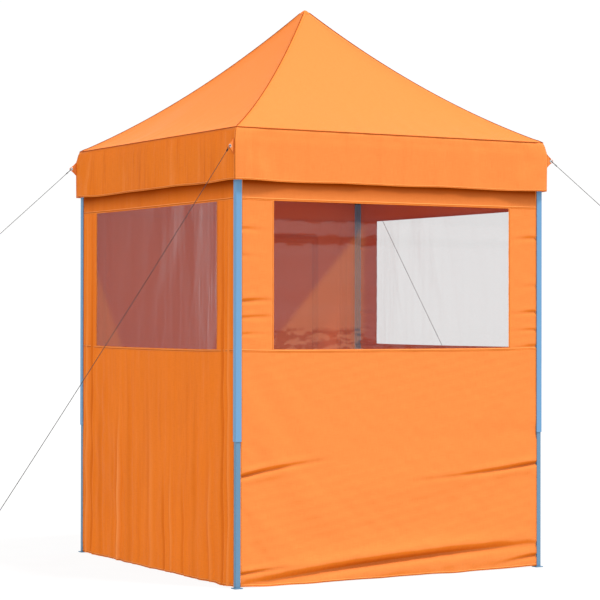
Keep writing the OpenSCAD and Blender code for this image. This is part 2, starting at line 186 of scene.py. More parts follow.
def cloth_shader(name, base, light, glow, fading, seam=False):
    """Coated polyester: a plain weave in the bump, soft slubs and creases, a painted paler sheen on faces
    turned to the sun, darker inside faces with painted shade, and some light coming through."""
    def build(add):
        uv = add("UVMap")
        place = add("TexCoord", output=3)
        threads = add("Mapping", Vector=uv, Scale=(4200.0, 4200.0, 1.0))
        weave = add("TexChecker", output=1, Vector=threads, Scale=1.0)
        slubs = stretched_noise(add, uv, (18.0, 420.0, 1.0), 2.0)
        cross = stretched_noise(add, uv, (420.0, 18.0, 1.0), 2.0)
        broad = stretched_noise(add, place, (2.1, 2.1, 1.6), 3.0)
        crumple = stretched_noise(add, uv, (11.0, 7.0, 1.0), 4.0, 0.6)
        fine = stretched_noise(add, uv, (70.0, 60.0, 1.0), 3.0)
        colour = mix(add, ramp(add, broad, 0.35, 0.7), base, light)
        # Painted sheen: faces turned towards the sun are mixed towards a paler, whiter orange
        facing = add("VectorMath", {"operation": "DOT_PRODUCT"}, output=1,
                     in0=add("NewGeometry", output=1), in1=SUN_WAY)
        colour = mix(add, maths(add, "MULTIPLY", ramp(add, facing, 0.02, 0.32), fading), colour, CLOTH_PAINTED_SHEEN)
        # Upright streaks on the hanging valance and on faces turned from the sun: the darker streaks are painted
        # shade in pleat hollows and the paler ones painted highlights on pleat crowns; the same noise also bumps
        # the surface
        pleats = stretched_noise(add, uv, (13.0, 0.9, 1.0), 5.0, 0.65)
        hanging = ramp(add, add("SeparateXYZ", output=1, Vector=uv), 0.0, -0.03)
        away = ramp(add, facing, 0.05, -0.15)
        streaky = maths(add, "MAXIMUM", maths(add, "MULTIPLY", hanging, 0.45), maths(add, "MULTIPLY", away, 0.8))
        streaky = maths(add, "MULTIPLY_ADD", maths(add, "MULTIPLY", hanging, away), 0.8, streaky)
        colour = mix(add, maths(add, "MULTIPLY", ramp(add, pleats, 0.50, 0.68), maths(add, "MULTIPLY",
                     streaky, 0.20)), colour, CLOTH_DEEP)
        colour = mix(add, maths(add, "MULTIPLY", ramp(add, pleats, 0.46, 0.32), maths(add, "MULTIPLY",
                     streaky, 0.13)), colour, CLOTH_PAINTED_HIGHLIGHT)
        # Painted shade: inside faces are mixed towards the darker, redder inside colour
        colour = mix(add, maths(add, "MULTIPLY", add("NewGeometry", output=6), 0.85), colour, CLOTH_INSIDE_SHADE)
        thread_tone = maths(add, "ADD", slubs, cross)
        colour = mix(add, maths(add, "MULTIPLY", ramp(add, thread_tone, 0.8, 1.3), 0.16), colour, CLOTH_DEEP)
        outside = maths(add, "SUBTRACT", 1.0, add("NewGeometry", output=6))
        # Painted shade from the mesh's shade attribute, on outside faces only: the valance's shadow across the
        # walls' top band and the shade in creases; negative values paint a highlight on ridges
        shade = maths(add, "MULTIPLY", add("Attribute", {"attribute_name": "shade"}, output=2), outside)
        colour = mix(add, shade, colour, CLOTH_SHADE)
        colour = mix(add, maths(add, "MULTIPLY", shade, -1.0), colour, CLOTH_PAINTED_HIGHLIGHT)
        height = add("SeparateXYZ", output=2, Vector=place)
        low = maths(add, "SUBTRACT", 1.0, ramp(add, height, 0.0, 0.22))
        soil = maths(add, "MULTIPLY", low, ramp(add, fine, 0.45, 0.75))
        colour = mix(add, maths(add, "MULTIPLY", soil, 0.12), colour, CLOTH_DIRT)
        if seam:
            side = add("SeparateXYZ", output=1, Vector=uv)
            across = maths(add, "ABSOLUTE", side)
            along = add("SeparateXYZ", output=0, Vector=uv)
            row = maths(add, "COMPARE", across, 0.62, 0.13)
            dash = maths(add, "GREATER_THAN", maths(add, "FRACT", maths(add, "MULTIPLY", along, 190.0)), 0.3)
            stitch = maths(add, "MULTIPLY", row, dash)
            # The groove down the tape's middle is bumped and also darkened with painted shade; the tape's upper
            # edge gets a painted highlight
            groove = maths(add, "SUBTRACT", 1.0, ramp(add, across, 0.0, 0.34))
            seam_highlight = maths(add, "MULTIPLY", ramp(add, side, -0.2, -0.7), maths(add, "MULTIPLY", outside, 0.55))
            colour = mix(add, seam_highlight, colour, CLOTH_PAINTED_HIGHLIGHT)
            colour = mix(add, maths(add, "MULTIPLY", groove, maths(add, "MULTIPLY", outside, 0.7)), colour,
                         CLOTH_SHADE)
            colour = mix(add, maths(add, "MULTIPLY", stitch, maths(add, "MULTIPLY", outside, 0.5)), colour,
                         (1.0, 0.42, 0.12, 1))
        bump = add("Bump", Strength=maths(add, "MULTIPLY", streaky, 0.6), Distance=0.012, Height=pleats)
        bump = add("Bump", Strength=0.16, Distance=0.006, Height=crumple, Normal=bump)
        bump = add("Bump", Strength=0.25, Distance=0.0006, Height=fine, Normal=bump)
        bump = add("Bump", Strength=0.20, Distance=0.0002, Height=weave, Normal=bump)
        if seam:
            relief = maths(add, "SUBTRACT", stitch, groove)
            bump = add("Bump", Strength=0.8, Distance=0.0008, Height=relief, Normal=bump)
        rough = add("MapRange", in0=broad, in1=0.3, in2=0.7, in3=0.52, in4=0.66)
        shine = maths(add, "MULTIPLY", maths(add, "SUBTRACT", 1.0, maths(add, "ABSOLUTE", shade)), 0.045)
        face = add("BsdfPrincipled", Base_Color=colour, Roughness=rough, Specular_IOR_Level=shine, Normal=bump)
        through = add("BsdfTranslucent", Color=mix(add, 0.45, colour, CLOTH_DEEP), Normal=bump)
        return add("MixShader", in0=glow, in1=face, in2=through)
    return shader(name, build)


def film_shader(name, streaks, level_band, patch=None):
    """Clear flexible film: light goes straight through, with a faint haze of reflected light that is
    broken into streaks; the streaks are painted reflections made with a diffuse layer. A level pane also
    gets a painted pale reflection band near its top. patch is a painted patch of warm light below the
    line along * patch[0] + height * patch[1] + patch[2] = 0, as far along as patch[3]."""
    def build(add):
        uv = add("UVMap")
        along, height = (add("SeparateXYZ", output=i, Vector=uv) for i in (0, 1))
        waves = stretched_noise(add, uv, streaks, 4.0, 0.6)
        ragged = stretched_noise(add, uv, (9.0, 26.0, 1.0), 5.0, 0.65)
        scuffs = stretched_noise(add, uv, (190.0, 190.0, 1.0), 5.0, 0.7)
        bent = maths(add, "ADD", height, maths(add, "MULTIPLY", maths(add, "SUBTRACT", ragged, 0.5), 0.085))
        # Painted reflection: a pale band of haze near the pane's top, a thin clearer gap under it and less haze
        # near the bottom
        if level_band:
            top = ramp(add, bent, 1.895, 1.880)
            gap = maths(add, "MULTIPLY", ramp(add, bent, 1.765, 1.772), ramp(add, bent, 1.818, 1.810))
            low = maths(add, "MULTIPLY", ramp(add, bent, 1.345, 1.325), ramp(add, ragged, 0.47, 0.51))
            haze = maths(add, "SUBTRACT", top, maths(add, "MULTIPLY", gap, 0.9))
            haze = maths(add, "SUBTRACT", haze, maths(add, "MULTIPLY", low, 0.6))
            share = 0.046
        else:
            # Painted reflections: the haze rises towards one edge, in thin upright streaks and in slanted clouds
            near = ramp(add, along, -0.1, 0.72)
            light_streaks = stretched_noise(add, uv, (55.0, 2.4, 1.0), 6.0, 0.7)
            haze = maths(add, "ADD", 1.25, maths(add, "MULTIPLY", near, ramp(add, waves, 0.42, 0.66)))
            light_streaks = maths(add, "MULTIPLY", ramp(add, light_streaks, 0.56, 0.62), 1.6 if patch else 0.4)
            haze = maths(add, "ADD", haze, maths(add, "MULTIPLY", near, light_streaks))
            slanted = add("Mapping", Vector=uv, Rotation=(0.0, 0.0, 0.30))
            clouds = ramp(add, stretched_noise(add, slanted, (8.0, 0.9, 1.0), 4.0, 0.6), 0.48, 0.70)
            haze = maths(add, "ADD", haze, maths(add, "MULTIPLY", clouds, ramp(add, along, -0.6, 0.2)))
            share = 0.056
        haze = maths(add, "ADD", haze, maths(add, "MULTIPLY", ramp(add, scuffs, 0.60, 0.78), 0.35))
        haze = maths(add, "ADD", haze, maths(add, "MULTIPLY", ramp(add, waves, 0.35, 0.75), 0.25))
        bump = add("Bump", Strength=0.35, Distance=0.003, Height=waves)
        clear = add("BsdfTransparent", Color=(0.870, 0.870, 0.870, 1))
        milk = add("BsdfDiffuse", Color=(0.86, 0.80, 0.82, 1), Normal=bump)
        gloss = add("BsdfGlossy", Color=(0.9, 0.9, 0.95, 1), Roughness=0.14, Normal=bump)
        body = add("MixShader", in0=maths(add, "MULTIPLY", haze, share), in1=clear, in2=milk)
        # Painted warm light: an orange diffuse patch mixed into the film below a slanted line
        if patch:
            line = maths(add, "ADD", maths(add, "MULTIPLY", along, patch[0]),
                         maths(add, "MULTIPLY_ADD", height, patch[1], patch[2]))
            glow = maths(add, "MULTIPLY", ramp(add, line, 0.03, -0.04),
                         ramp(add, along, patch[3] + 0.03, patch[3] - 0.03))
            if level_band:
                kept = maths(add, "SUBTRACT", 1.0, maths(add, "MULTIPLY", low, 0.7))
                glow = maths(add, "MULTIPLY", glow, kept)
            warm = add("BsdfDiffuse", Color=(0.90, 0.30, 0.07, 1), Normal=bump)
            body = add("MixShader", in0=maths(add, "MULTIPLY", glow, 0.14), in1=body, in2=warm)
        return add("MixShader", in0=0.018, in1=body, in2=gloss)
    return shader(name, build)


def paint_shader(name, first, second):
    """Powder-coated steel tube, with a fine orange-peel surface and rubbed marks where sleeves slide."""
    def build(add):
        place = add("TexCoord", output=3)
        peel = stretched_noise(add, place, (700.0, 700.0, 700.0), 2.0)
        rubbed = stretched_noise(add, place, (260.0, 260.0, 9.0), 4.0, 0.7)
        tone = stretched_noise(add, place, (6.0, 6.0, 2.0), 2.0)
        colour = mix(add, tone, first, second)
        worn = maths(add, "MULTIPLY", ramp(add, rubbed, 0.64, 0.74), 0.35)
        colour = mix(add, worn, colour, (0.30, 0.42, 0.55, 1))
        bump = add("Bump", Strength=0.25, Distance=0.0003, Height=peel)
        bump = add("Bump", Strength=0.20, Distance=0.0003, Height=rubbed, Normal=bump)
        rough = add("MapRange", in0=rubbed, in1=0.3, in2=0.8, in3=0.36, in4=0.55)
        return add("BsdfPrincipled", Base_Color=colour, Roughness=rough, Specular_IOR_Level=0.3, Normal=bump)
    return shader(name, build)


def nylon_shader():
    """Moulded glass-filled nylon with a faint grained surface and paler rubbed patches."""
    def build(add):
        place = add("TexCoord", output=3)
        grain = stretched_noise(add, place, (1400.0, 1400.0, 1400.0), 3.0)
        patches = stretched_noise(add, place, (45.0, 45.0, 45.0), 4.0, 0.6)
        colour = mix(add, ramp(add, patches, 0.5, 0.75), (0.020, 0.022, 0.026, 1), (0.055, 0.058, 0.064, 1))
        bump = add("Bump", Strength=0.35, Distance=0.0002, Height=grain)
        rough = add("MapRange", in0=patches, in1=0.3, in2=0.7, in3=0.42, in4=0.62)
        return add("BsdfPrincipled", Base_Color=colour, Roughness=rough, Normal=bump)
    return shader("moulded_nylon", build)


def steel_shader():
    """Zinc-plated steel with drawn streaks and dull spots."""
    def build(add):
        place = add("TexCoord", output=3)
        drawn = stretched_noise(add, place, (900.0, 900.0, 40.0), 3.0)
        spots = stretched_noise(add, place, (90.0, 90.0, 90.0), 4.0, 0.65)
        colour = mix(add, ramp(add, spots, 0.45, 0.75), (0.62, 0.63, 0.65, 1), (0.40, 0.40, 0.41, 1))
        bump = add("Bump", Strength=0.2, Distance=0.0002, Height=drawn)
        rough = add("MapRange", in0=spots, in1=0.3, in2=0.8, in3=0.22, in4=0.5)
        return add("BsdfPrincipled", Base_Color=colour, Metallic=1.0, Roughness=rough, Normal=bump)
    return shader("plated_steel", build)


def rope_shader():
    """Braided cord: two crossing sets of strands in the bump and the colour."""
    def build(add):
        uv = add("UVMap")
        along, around = (add("SeparateXYZ", output=i, Vector=uv) for i in (0, 1))
        turns = maths(add, "MULTIPLY", along, 120.0)
        left = maths(add, "SINE", maths(add, "MULTIPLY", maths(add, "ADD", turns, around), 6.2832))
        right = maths(add, "SINE", maths(add, "MULTIPLY", maths(add, "SUBTRACT", turns, around), 6.2832))
        strands = maths(add, "MAXIMUM", left, right)
        fuzz = stretched_noise(add, uv, (500.0, 12.0, 1.0), 3.0)
        # Painted shade: the cord is darker in the grooves between its strands than on their crowns
        colour = mix(add, ramp(add, strands, -0.6, 0.9), (0.020, 0.018, 0.016, 1), (0.055, 0.050, 0.045, 1))
        colour = mix(add, maths(add, "MULTIPLY", fuzz, 0.25), colour, (0.045, 0.040, 0.035, 1))
        bump = add("Bump", Strength=0.8, Distance=0.0008, Height=strands)
        return add("BsdfPrincipled", Base_Color=colour, Roughness=0.85, Specular_IOR_Level=0.1,
                   Sheen_Weight=0.02, Normal=bump)
    return shader("braided_cord", build)


def floor_shader():
    """A pale floor that glows a little, so that shadows on it stay faint."""
    def build(add):
        place = add("TexCoord", output=3)
        grain = stretched_noise(add, place, (3.0, 3.0, 3.0), 4.0)
        colour = mix(add, grain, (0.90, 0.90, 0.90, 1), (0.93, 0.93, 0.93, 1))
        matt = add("BsdfPrincipled", Base_Color=colour, Roughness=0.9, Specular_IOR_Level=0.1)
        return add("MixShader", in0=0.90, in1=matt, in2=add("Emission", Color=colour, Strength=1.10))
    return shader("studio_floor", build)


CLOTH_MAT = cloth_shader("orange_cloth", CLOTH, CLOTH_LIGHT, 0.09, 1.0)
SEAM_MAT = cloth_shader("orange_seam", (0.78, 0.165, 0.012, 1), CLOTH, 0.03, 0.6, seam=True)
PIPING_MAT = cloth_shader("piping_cloth", (0.36, 0.060, 0.008, 1), (0.42, 0.075, 0.010, 1), 0.02, 0.0)
FILM_FRONT = film_shader("clear_film_level", (1.6, 13.0, 1.0), True, (-1.10, 1.0, -2.095, -0.20))
FILM_RIGHT = film_shader("clear_film_plain", (16.0, 0.9, 1.0), False)
FILM_SIDE = film_shader("clear_film_upright", (16.0, 0.9, 1.0), False, (1.0, 0.825, -0.618, 0.75))
PAINT_MAT = paint_shader("powder_coated_steel", (0.115, 0.270, 0.465, 1), (0.140, 0.308, 0.510, 1))
INNER_MAT = paint_shader("powder_coated_inner_tube", (0.098, 0.212, 0.332, 1), (0.118, 0.240, 0.368, 1))
NYLON_MAT, STEEL_MAT, ROPE_MAT = nylon_shader(), steel_shader(), rope_shader()


# ---------------------------------------------------------------- meshes and pieces

def make_mesh(name, points, faces, uvs=None, smooth=True):
    """A mesh from points, faces as tuples of point numbers, and one (u, v) or (u, v, shade) per point."""
    mesh = bpy.data.meshes.new(name)
    mesh.from_pydata([tuple(p) for p in points], [], [tuple(f) for f in faces])
    if uvs is not None:
        uvs = np.asarray(uvs, float)
        layer = mesh.uv_layers.new(name="cloth")
        corner_points = np.empty(len(mesh.loops), int)
        mesh.loops.foreach_get("vertex_index", corner_points)
        layer.data.foreach_set("uv", uvs[corner_points, :2].ravel())
        if uvs.shape[1] > 2:
            mesh.attributes.new("shade", "FLOAT", "POINT").data.foreach_set("value", uvs[:, 2])
    if smooth:
        mesh.polygons.foreach_set("use_smooth", [True] * len(mesh.polygons))
    mesh.update()
    return mesh


def join_parts(parts):
    """One list of points, faces and uvs from several (points, faces, uvs)."""
    points, faces, uvs, count = [], [], [], 0
    for part_points, part_faces, part_uvs in parts:
        points.append(np.asarray(part_points, float))
        faces += [tuple(int(i) + count for i in face) for face in part_faces]
        uvs.append(np.pad(np.asarray(part_uvs, float), ((0, 0), (0, 3 - np.shape(part_uvs)[1]))))
        count += len(part_points)
    return np.concatenate(points), faces, np.concatenate(uvs)


def turn(points, side):
    """Turns points from the front wall's place to the place of another side."""
    angle = math.pi / 2 * side
    c, s = round(math.cos(angle)), round(math.sin(angle))
    x, y, z = np.asarray(points, float).reshape(-1, 3).T
    return np.stack([c * x - s * y, s * x + c * y, z], 1)


def drive(key, body, channel, travel):
    """The key goes from 0 to 1 as that body travels from rest by travel metres along a channel, and
    then stays at 1."""
    driver = key.driver_add("value").driver
    driver.type = "SCRIPTED"
    variable = driver.variables.new()
    variable.name = "shift"
    variable.type = "TRANSFORMS"
    target = variable.targets[0]
    target.id = frame["bodies"][body]
    target.transform_type = channel
    target.transform_space = "WORLD_SPACE"
    driver.expression = f"min(shift / {travel:.6f}, 1)"


def add_fold(piece, gathered=None, lowered=None):
    """Shape keys that follow the frame: gathered with the posts coming in, lowered with the mast."""
    piece.shape_key_add(name="rest")
    for name, points, body, channel, travel in (
        ("gathered", gathered, "leg_tube_front_right", "LOC_X", -POST_TRAVEL),
        ("lowered", lowered, "lower_hub", "LOC_Z", -MAST_TRAVEL),
    ):
        if points is None:
            continue
        key = piece.shape_key_add(name=name)
        key.data.foreach_set("co", np.asarray(points, float).ravel())
        key.slider_min, key.slider_max = 0.0, 1.0
        drive(key, body, channel, travel)


def add_piece(name, mesh, materials, body, replaced=()):
    piece = bpy.data.objects.new(name, mesh)
    bpy.context.scene.collection.objects.link(piece)
    for material in materials:
        mesh.materials.append(material)
    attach(piece, body)
    if replaced:
        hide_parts(*replaced)
    return piece


# ---------------------------------------------------------------- cloth sheets

class Sheet:
    """A cloth as a grid of points. along and across are each column's and row's place on the cloth, and
    shade is how deep in a crease or an overhang's shadow each point lies, from 0 to 1, or less than 0 on
    a ridge that catches the light."""

    def __init__(self, points, along, across, loop=False, shade=None):
        self.points, self.along, self.across, self.loop = points, along, across, loop
        self.shade = np.zeros(points.shape[:2]) if shade is None else shade

    def at(self, a, b):
        """The point on the sheet at cloth place (a, b), by straight interpolation."""
        columns = len(self.along) - 1
        i = np.clip(np.searchsorted(self.along, a, side="right") - 1, 0, columns - 1)
        j = np.clip(np.searchsorted(self.across, b, side="right") - 1, 0, len(self.across) - 2)
        f = ((a - self.along[i]) / (self.along[i + 1] - self.along[i]))[..., None]
        g = ((b - self.across[j]) / (self.across[j + 1] - self.across[j]))[..., None]
        p = self.points
        low = p[j, i] * (1 - f) + p[j, i + 1] * f
        high = p[j + 1, i] * (1 - f) + p[j + 1, i + 1] * f
        return low * (1 - g) + high * g

    def wrap(self, a):
        return np.mod(a, self.along[-1]) if self.loop else np.clip(a, self.along[0], self.along[-1])

    def steps(self, a, b, size):
        """How the point moves for a step of size along, and for one across."""
        low, high = self.across[0], self.across[-1]
        along = self.at(self.wrap(a + size), b) - self.at(self.wrap(a - size), b)
        up, down = np.clip(b + size, low, high), np.clip(b - size, low, high)
        across = (self.at(a, up) - self.at(a, down)) * (2 * size / (up - down))[..., None]
        return along, across

    def normal(self, a, b, size=0.012):
        along, across = self.steps(a, b, size)
        n = np.cross(along, across)
        return n / np.linalg.norm(n, axis=-1, keepdims=True)

    def faces(self, keep=None):
        """Quads over the grid, and for a keep function only those whose middle it accepts."""
        rows, columns = self.points.shape[:2]
        j, i = np.mgrid[0:rows - 1, 0:columns - 1]
        if keep is not None:
            a = (self.along[i] + self.along[i + 1]) / 2
            b = (self.across[j] + self.across[j + 1]) / 2
            chosen = keep(a, b)
            j, i = j[chosen], i[chosen]
        j, i = j.ravel(), i.ravel()
        first = j * columns + i
        return np.stack([first, first + 1, first + columns + 1, first + columns], 1)

    def part(self, keep=None):
        """(points, faces, uvs) of the kept faces, without the unused points."""
        faces = self.faces(keep)
        used = np.unique(faces)
        renumber = np.zeros(self.points.shape[0] * self.points.shape[1], int)
        renumber[used] = np.arange(len(used))
        uvs = np.stack([*np.meshgrid(self.along, self.across), self.shade], -1).reshape(-1, 3)
        return self.points.reshape(-1, 3)[used], renumber[faces], uvs[used]


def grid_lines(stops, step):
    """Rising numbers that pass through every stop, about step apart."""
    runs = [np.linspace(a, b, max(1, round((b - a) / step)) + 1)[:-1] for a, b in zip(stops, stops[1:])]
    return np.concatenate(runs + [np.array([stops[-1]])])


def smoother(values, axis, factor):
    """Adds factor - 1 points between each two along an axis, on a smooth curve through all of them."""
    v = np.moveaxis(values, axis, 0)
    count = len(v)
    place = np.arange((count - 1) * factor + 1) / factor
    i = np.minimum(place.astype(int), count - 2)
    f = (place - i).reshape((-1,) + (1,) * (v.ndim - 1))
    p0, p1, p2, p3 = v[np.maximum(i - 1, 0)], v[i], v[i + 1], v[np.minimum(i + 2, count - 1)]
    bend = 2 * p0 - 5 * p1 + 4 * p2 - p3 + f * (3 * (p1 - p2) + p3 - p0)
    return np.moveaxis(p1 + 0.5 * f * (p2 - p0 + f * bend), 0, axis)


def evenly(values, factor):
    place = np.arange((len(values) - 1) * factor + 1) / factor
    return np.interp(place, np.arange(len(values)), values)


def ripples(a, b, seed, size, stretch=(1.0, 1.0), count=14):
    """Smooth wandering waves of about size metres, between -1 and 1, from a seeded set of sines."""
    random = np.random.default_rng(seed)
    total = np.zeros(np.broadcast(a, b).shape)
    for _ in range(count):
        angle, phase = random.uniform(0, 2 * math.pi, 2)
        pace = 2 * math.pi / (size * random.uniform(0.7, 1.6))
        total += np.sin(pace * (np.cos(angle) * a / stretch[0] + np.sin(angle) * b / stretch[1]) + phase)
    return total / math.sqrt(count) / 1.6


def drape(points, pinned, slack, frames, quad_rows):
    """Blender's cloth on a grid of points, held where pinned, with a little more cloth than room."""
    rows, columns = quad_rows
    sheet = Sheet(points.reshape(rows, columns, 3), np.arange(columns), np.arange(rows))
    cloth = bpy.data.objects.new("drape", make_mesh("drape", points, sheet.faces()))
    scene = bpy.context.scene
    scene.collection.objects.link(cloth)
    group = cloth.vertex_groups.new(name="held")
    group.add([int(i) for i in np.flatnonzero(pinned)], 1.0, "REPLACE")
    modifier = cloth.modifiers.new("drape", "CLOTH")
    settings = modifier.settings
    settings.vertex_group_mass = "held"
    settings.quality = 5
    settings.mass = 0.15
    settings.tension_stiffness = settings.compression_stiffness = 18
    settings.shear_stiffness = 8
    settings.bending_stiffness = 0.6
    settings.air_damping = 4
    settings.shrink_min = -slack
    modifier.point_cache.frame_start, modifier.point_cache.frame_end = 1, frames
    for step in range(1, frames + 1):
        scene.frame_set(step)
    graph = bpy.context.evaluated_depsgraph_get()
    settled = cloth.evaluated_get(graph).to_mesh()
    result = np.array([v.co for v in settled.vertices], float)
    cloth.evaluated_get(graph).to_mesh_clear()
    bpy.data.objects.remove(cloth)
    scene.frame_set(1)
    return result


def tape(sheet, start, end, width, lift, profile=(-1, -0.82, 0, 0.82, 1)):
    """A sewn strip on a sheet from one cloth place to another, a little raised in the middle."""
    start, end = np.array(start, float), np.array(end, float)
    probe = np.linspace(0, 1, 24)[:, None]
    path = start + (end - start) * probe
    length = np.linalg.norm(np.diff(sheet.at(sheet.wrap(path[:, 0]), path[:, 1]), axis=0), axis=1).sum()
    count = max(3, int(length / 0.02))
    path = start + (end - start) * np.linspace(0, 1, count)[:, None]
    a, b = path.T
    across = np.array([end[1] - start[1], start[0] - end[0]])
    across = across / np.abs(across).max()
    size = 0.004
    along_step, across_step = sheet.steps(sheet.wrap(a), b, size)
    moved = np.linalg.norm(along_step * across[0] + across_step * across[1], axis=1) / (2 * size)
    rows = []
    for offset in profile:
        pa = a + across[0] * offset * width / 2 / moved
        pb = np.clip(b + across[1] * offset * width / 2 / moved, sheet.across[0], sheet.across[-1])
        height = lift * (1.1 - abs(offset) ** 6 * 0.9)
        rows.append(sheet.at(sheet.wrap(pa), pb) + height * sheet.normal(sheet.wrap(pa), pb))
    points = np.stack(rows, 1)
    strip = Sheet(points, np.arange(len(profile)), np.arange(count))
    uvs = np.stack(np.meshgrid(profile, np.linspace(0, length, count)), -1)[..., ::-1]
    faces = strip.faces()
    return points.reshape(-1, 3), faces, uvs.reshape(-1, 2)


def tube(path, radius, sides=10, closed=False):
    """(points, faces, uvs) of a round cord along a path of points."""
    path = np.asarray(path, float)
    ahead = np.roll(path, -1, 0) - np.roll(path, 1, 0)
    if not closed:
        ahead[0], ahead[-1] = path[1] - path[0], path[-1] - path[-2]
    ahead /= np.linalg.norm(ahead, axis=1, keepdims=True)
    # The axis that the path stays furthest from, so that no ring collapses
    reference = max(np.eye(3), key=lambda axis: np.linalg.norm(np.cross(ahead, axis), axis=1).min())
    first = np.cross(ahead, reference)
    first /= np.linalg.norm(first, axis=1, keepdims=True)
    second = np.cross(ahead, first)
    angle = np.linspace(0, 2 * math.pi, sides, endpoint=False)
    ring = first[:, None] * np.cos(angle)[None, :, None] + second[:, None] * np.sin(angle)[None, :, None]
    points = path[:, None] + radius * ring
    count = len(path)
    faces = []
    for j in range(count if closed else count - 1):
        for i in range(sides):
            k, n = (i + 1) % sides, (j + 1) % count
            faces.append((j * sides + i, j * sides + k, n * sides + k, n * sides + i))
    if not closed:
        faces += [tuple(range(sides))[::-1], tuple((count - 1) * sides + i for i in range(sides))]
    run = np.concatenate([[0], np.cumsum(np.linalg.norm(np.diff(path, axis=0), axis=1))])
    uvs = np.stack(np.meshgrid(np.linspace(0, 3, sides), run), -1)[..., ::-1]
    return points.reshape(-1, 3), faces, uvs.reshape(-1, 2)


# ---------------------------------------------------------------- walls

WALL_STEP = 0.031
WALL_EDGE = POST - TUBE_HALF - 0.0006
SHADE_LOW = WINDOW_HIGH - 0.01
# How far a wall's edge gives way when a foot plate slides up past it, and how wide the moved strip is
EDGE_SHIFT, EDGE_ZONE = 0.0125, 0.060
LEG_TRAVEL = JOINTS["leg_slide_front_left"]["range_m"][1]
# Folds of the front and right walls: start, end, bow, width, depth and how the fold fades along its
# length ("out" is deepest where it starts, "mid" is deepest in its middle)
LEVEL_FOLDS = (
    ((-0.94, 0.566), (-0.30, 0.655), 0.014, 0.010, 0.017, "out"),
    ((0.94, 0.578), (-0.05, 0.515), -0.010, 0.010, 0.016, "out"),
    ((-0.94, 0.012), (0.94, 0.128), 0.034, 0.019, 0.026, "mid"),
    ((-0.94, 0.070), (-0.55, 0.104), 0.004, 0.008, 0.012, "out"),
    ((0.94, 0.066), (0.58, 0.020), 0.004, 0.010, 0.012, "out"),
    ((-0.80, 0.195), (0.60, 0.290), 0.030, 0.075, 0.006, "mid"),
    ((-0.60, 0.350), (0.80, 0.405), 0.020, 0.060, 0.003, "mid"),
    ((0.94, 0.760), (-0.30, 0.700), 0.010, 0.050, 0.004, "out"),
    ((-0.94, 1.838), (-0.74, 1.830), 0.002, 0.010, 0.007, "out"),
    ((-0.94, 1.700), (-0.75, 1.690), 0.002, 0.012, 0.004, "out"),
    ((-0.94, 1.466), (-0.62, 1.478), 0.003, 0.009, 0.009, "out"),
    ((-0.94, 1.382), (-0.66, 1.392), 0.002, 0.009, 0.008, "out"),
    ((-0.94, 1.296), (-0.70, 1.304), 0.002, 0.008, 0.007, "out"),
    ((0.94, 1.826), (0.72, 1.812), 0.002, 0.010, 0.008, "out"),
    ((0.94, 1.560), (0.74, 1.552), 0.002, 0.012, 0.004, "out"),
    ((0.94, 1.418), (0.68, 1.400), 0.002, 0.009, 0.009, "out"),
    ((0.94, 1.318), (0.70, 1.306), 0.002, 0.008, 0.008, "out"),
    ((0.94, 1.228), (0.72, 1.210), 0.002, 0.009, 0.009, "out"),
)
# Folds of the left and back walls: place at the top, place at the hem, lowest and highest height,
# width and depth
UPRIGHT_FOLDS = (
    (-0.87, -0.88, 0.0, 2.3, 0.013, -0.010),
    (-0.80, -0.81, 0.0, 2.3, 0.011, 0.011),
    (-0.67, -0.68, 0.0, 1.25, 0.018, 0.006),
    (-0.52, -0.51, 0.0, 0.95, 0.014, 0.004),
    (-0.42, -0.45, 0.0, 0.95, 0.013, -0.015),
    (-0.30, -0.28, 0.0, 1.20, 0.026, 0.006),
    (-0.04, -0.02, 0.0, 1.00, 0.022, -0.005),
    (0.12, 0.13, 0.0, 0.62, 0.010, 0.009),
    (0.20, 0.22, 0.0, 0.70, 0.010, -0.008),
    (0.34, 0.36, 0.0, 0.60, 0.010, 0.008),
    (0.52, 0.51, 0.0, 1.10, 0.022, 0.006),
    (0.68, 0.67, 0.0, 0.80, 0.014, -0.006),
    (0.82, 0.81, 0.0, 2.3, 0.010, 0.011),
    (0.88, 0.88, 0.0, 2.3, 0.010, -0.009),
)


def level_fold(a, b, start, end, bow, width, depth, fading):
    """How far a fold moves the cloth in, a narrow groove under a roll that hangs over it, and its shade."""
    share = (a - start[0]) / (end[0] - start[0])
    inside = np.clip(share, 0, 1)
    line = start[1] + (end[1] - start[1]) * inside + 4 * bow * inside * (1 - inside)
    away = (b - line) / width
    fade = (1 - inside) ** 1.7 if fading == "out" else np.sin(math.pi * np.clip(inside, 0.05, 0.95)) ** 0.8
    fade = np.where(share > 1, 0, fade)
    groove = np.exp(-away ** 2) - 0.55 * np.exp(-((away - 2.3) / 1.9) ** 2)
    crease = fade * np.exp(-(away - 0.2) ** 2) * np.clip((depth - 0.0075) / 0.007, 0, 0.55)
    return depth * fade * (groove - 0.35 * np.exp(-((away + 2.6) / 2.2) ** 2)), crease


def upright_fold(a, b, top, hem, low, high, width, depth):
    """How far an upright fold moves the cloth in, fading towards its upper end, and its shade."""
    share = np.clip(b / WALL_HIGH, 0, 1)
    away = (a - (hem + (top - hem) * share)) / width
    fade = np.clip((high - b) / (0.45 * high), 0, 1) ** 1.2
    ridge = 0.9 * np.exp(-away ** 2) if depth < 0 else 0.0
    crease = fade * (0.4 * np.exp(-(away + 1.2) ** 2) - ridge) * np.clip(abs(depth) / 0.018, 0, 0.8)
    return depth * fade * (np.exp(-away ** 2) - 0.5 * np.exp(-((away - 2.0) / 1.6) ** 2)), crease


def upright_folds(a, b, seed, depth):
    """Soft folds that hang down the cloth and lean a little."""
    lean = 0.012 * ripples(a, b, seed + 5, 2.0)
    share = (b - WALL_LOW) / (WALL_HIGH - WALL_LOW)
    return depth * ripples(a + lean, b * 0.03, seed, 0.10) * (0.45 + 0.55 * (1 - share))


